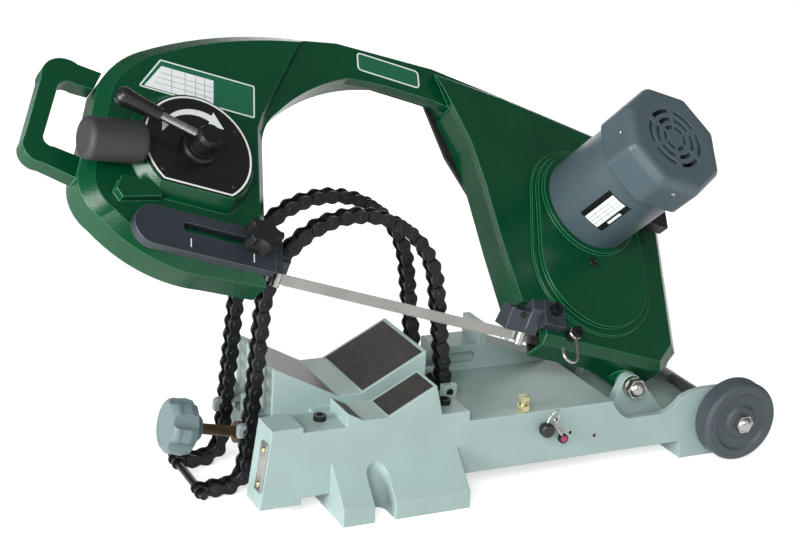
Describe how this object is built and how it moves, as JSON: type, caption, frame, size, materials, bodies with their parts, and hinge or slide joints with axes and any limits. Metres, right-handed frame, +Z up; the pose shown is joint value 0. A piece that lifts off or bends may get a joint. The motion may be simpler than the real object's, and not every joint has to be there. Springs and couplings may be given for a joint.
{
  "type": "portable band saw",
  "caption": "Portable band saw for pipe: a wheeled cast base with a V seat and chain vise, and a leaning motor-driven saw arm that swings on a pivot.",
  "frame": {"origin": "on the underside of the cross foot, below the centre of the pipe seat, in the blade's upright cutting plane", "axes": "+X from the tension wheel towards the motor and the wheels, +Y away from the user along the pipe, +Z up"},
  "size_m": [0.9801, 0.3879, 0.5343],
  "materials": {
    "green_paint": "gloss",
    "base_paint": "satin",
    "cover_black": "satin",
    "motor_paint": "satin",
    "steel": "satin",
    "cast_steel": "rough",
    "black_plastic": "satin",
    "grey_plastic": "satin",
    "wheel_rubber": "matte",
    "rubber": "matte",
    "chain_steel": "oiled",
    "yellow_zinc": "satin",
    "gunmetal": "dark",
    "bronze": "worn",
    "blade_steel": "bright",
    "disc_black": "satin"
  },
  "bodies": {
    "base": {"base_casting": "base_paint", "vise_block": "base_paint", "vise_bolts": "steel", "pivot_shaft": "steel", "pivot_washers": "steel", "pivot_nut": "steel", "heel_stop": "rubber", "wheel_axle": "steel", "axle_nuts": "steel", "stop_bolt": "yellow_zinc", "stop_nut": "yellow_zinc", "chain_front": "chain_steel", "chain_rear": "chain_steel", "chain_bar": "chain_steel", "chain_anchor": "chain_steel", "end_plate": "steel"},
    "cart_wheel_front": {"cart_wheel_front": "wheel_rubber"},
    "cart_wheel_rear": {"cart_wheel_rear": "wheel_rubber"},
    "lock": {"lock_pin": "steel", "lock_knob": "black_plastic"},
    "clamp": {"clamp_screw": "bronze", "clamp_knob": "grey_plastic"},
    "yoke": {"hook_yoke": "cast_steel"},
    "arm": {"arm_frame": "green_paint", "rear_cover": "cover_black", "disc_plate": "disc_black", "spring_cap": "rubber", "return_shoe": "bronze", "saw_blade": "blade_steel", "motor_housing": "motor_paint", "motor_stator": "steel", "fan_cover": "motor_paint", "motor_gland": "black_plastic", "drive_bush": "bronze", "right_bracket": "gunmetal", "bracket_screw": "chain_steel", "right_block": "gunmetal", "hook_bolt": "chain_steel"},
    "lever": {"lever_hub": "steel", "lever_rod": "steel", "lever_grip": "black_plastic"},
    "carriage": {"idler_carriage": "cast_steel", "idler_axle": "steel"},
    "idler": {"idler_wheel": "cast_steel"},
    "drive": {"drive_wheel": "cast_steel", "drive_shaft": "steel", "drive_gear": "cast_steel"},
    "rotor": {"motor_shaft": "steel", "motor_rotor": "steel", "motor_pinion": "cast_steel", "cooling_fan": "black_plastic"},
    "guide": {"guide_bar": "gunmetal", "left_block": "gunmetal"},
    "star": {"star_knob": "black_plastic"},
    "left_roller_front": {"left_roller_front": "steel"},
    "left_roller_back": {"left_roller_back": "steel"},
    "right_roller_front": {"right_roller_front": "steel"},
    "right_roller_back": {"right_roller_back": "steel"},
    "hook": {"j_hook": "steel"}
  },
  "joints": [
    {"name": "arm_swing", "type": "hinge", "parent": "base", "child": "arm", "pos_m": [0.38831, 0, 0.09865], "axis": [0, 1, 0], "range_deg": [-19, 15]},
    {"name": "wheel_front_spin", "type": "hinge", "parent": "base", "child": "cart_wheel_front", "pos_m": [0.52231, -0.084, 0.056], "axis": [0, 1, 0], "continuous": true},
    {"name": "wheel_rear_spin", "type": "hinge", "parent": "base", "child": "cart_wheel_rear", "pos_m": [0.52231, 0.168, 0.056], "axis": [0, 1, 0], "continuous": true},
    {"name": "lock_pull", "type": "slide", "parent": "base", "child": "lock", "axis": [0, -1, 0], "range_m": [0, 0.012], "stiffness_N_per_m": 300},
    {"name": "clamp_turn", "type": "hinge", "parent": "base", "child": "clamp", "pos_m": [-0.201, 0.071, 0.076], "axis": [0.9748, 0, -0.2233], "range_deg": [0, 960]},
    {"name": "yoke_slide", "type": "slide", "parent": "base", "child": "yoke", "axis": [-0.9748, 0, 0.2233], "range_m": [0, 0.0081], "deforming": ["chain_front", "chain_rear"]},
    {"name": "tension_turn", "type": "hinge", "parent": "arm", "child": "lever", "pos_m": [-0.18938, 0.0297, 0.45274], "axis": [0.2192, -0.7071, 0.6723], "range_deg": [-140, 0]},
    {"name": "tension_slide", "type": "slide", "parent": "arm", "child": "carriage", "axis": [0.9751, 0.1349, -0.176], "range_m": [0, 0.0061]},
    {"name": "idler_spin", "type": "hinge", "parent": "carriage", "child": "idler", "pos_m": [-0.22323, 0.07115, 0.3973], "axis": [0.2192, -0.7071, 0.6723], "continuous": true},
    {"name": "drive_spin", "type": "hinge", "parent": "arm", "child": "drive", "pos_m": [0.35481, 0.07115, 0.20882], "axis": [0.2192, -0.7071, 0.6723], "continuous": true},
    {"name": "rotor_spin", "type": "hinge", "parent": "arm", "child": "rotor", "pos_m": [0.37761, 0.14469, 0.27873], "axis": [0.2192, -0.7071, 0.6723], "continuous": true},
    {"name": "guide_slide", "type": "slide", "parent": "arm", "child": "guide", "axis": [0.9507, 0, -0.31], "range_m": [0, 0.08]},
    {"name": "star_turn", "type": "hinge", "parent": "arm", "child": "star", "pos_m": [-0.14299, -0.03394, 0.34985], "axis": [0.2192, -0.7071, 0.6723], "range_deg": [0, 540]},
    {"name": "left_front_spin", "type": "hinge", "parent": "guide", "child": "left_roller_front", "pos_m": [-0.11219, -0.00607, 0.28625], "axis": [0.31, 0, 0.9507], "continuous": true},
    {"name": "left_back_spin", "type": "hinge", "parent": "guide", "child": "left_roller_back", "pos_m": [-0.1255, 0.00607, 0.29059], "axis": [0.31, 0, 0.9507], "continuous": true},
    {"name": "right_front_spin", "type": "hinge", "parent": "arm", "child": "right_roller_front", "pos_m": [0.22627, -0.00607, 0.17589], "axis": [0.31, 0, 0.9507], "continuous": true},
    {"name": "right_back_spin", "type": "hinge", "parent": "arm", "child": "right_roller_back", "pos_m": [0.21296, 0.00607, 0.18023], "axis": [0.31, 0, 0.9507], "continuous": true},
    {"name": "hook_swing", "type": "hinge", "parent": "arm", "child": "hook", "pos_m": [0.29377, -0.03041, 0.18289], "axis": [0.2192, -0.7071, 0.6723], "range_deg": [-40, 40]}
  ],
  "couplings": [
    {"joint": "yoke_slide", "follows": "clamp_turn", "m_per_rad": 0.00047746},
    {"joint": "tension_slide", "follows": "tension_turn", "m_per_rad": -0.0024555},
    {"joint": "rotor_spin", "follows": "drive_spin", "ratio": -3.3333},
    {"joint": "idler_spin", "follows": "drive_spin", "ratio": 1}
  ]
}
